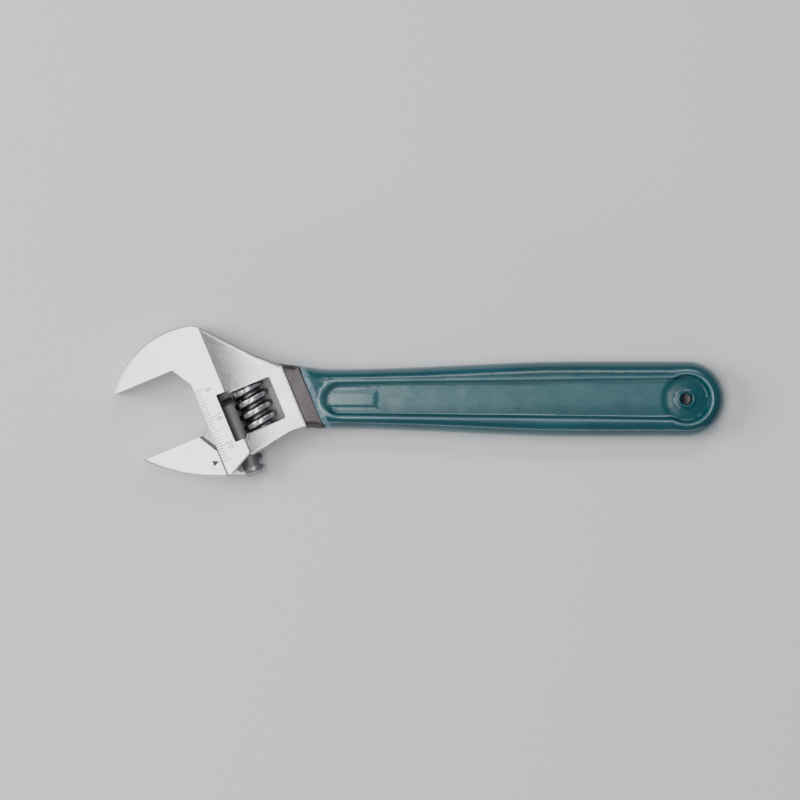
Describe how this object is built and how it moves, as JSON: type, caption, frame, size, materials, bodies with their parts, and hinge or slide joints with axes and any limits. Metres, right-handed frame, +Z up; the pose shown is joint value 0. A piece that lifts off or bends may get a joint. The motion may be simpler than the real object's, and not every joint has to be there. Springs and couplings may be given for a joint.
{
  "type": "adjustable wrench",
  "caption": "Adjustable wrench: an angled head with a fixed jaw, a sliding jaw on a toothed rack driven by a thumb worm, and a vinyl-dipped handle with a hanging hole.",
  "frame": {"origin": "bottom centre of the whole tool, lying flat, with its jaws open 24 mm", "axes": "+X along the handle from the jaws to the hanging hole, +Y towards the fixed jaw, +Z up out of the face that carries the scale"},
  "size_m": [0.2072, 0.0516, 0.0124],
  "materials": {
    "body_steel": "satin chrome plated, ground faces",
    "jaw_steel": "satin chrome plated, ground faces",
    "worm_steel": "machined",
    "pin_steel": "turned",
    "spring_steel": "drawn wire",
    "vinyl": "glossy translucent dip coat"
  },
  "bodies": {
    "wrench_body": {"body": "body_steel", "worm_pin": "pin_steel", "worm_spring": "spring_steel", "grip": "vinyl"},
    "jaw": {"movable_jaw": "jaw_steel"},
    "thumb_worm": {"worm": "worm_steel"}
  },
  "joints": [
    {"name": "jaw_slide", "type": "slide", "parent": "wrench_body", "child": "jaw", "axis": [0.3827, -0.9239, 0], "range_m": [-0.024, 0.001]},
    {"name": "worm_spin", "type": "hinge", "parent": "wrench_body", "child": "thumb_worm", "pos_m": [-0.05585, -0.00181, 0.0062], "axis": [0.3827, -0.9239, 0], "range_deg": [-95, 2220]}
  ],
  "couplings": [
    {"joint": "worm_spin", "follows": "jaw_slide", "rad_per_m": -1611.1}
  ]
}
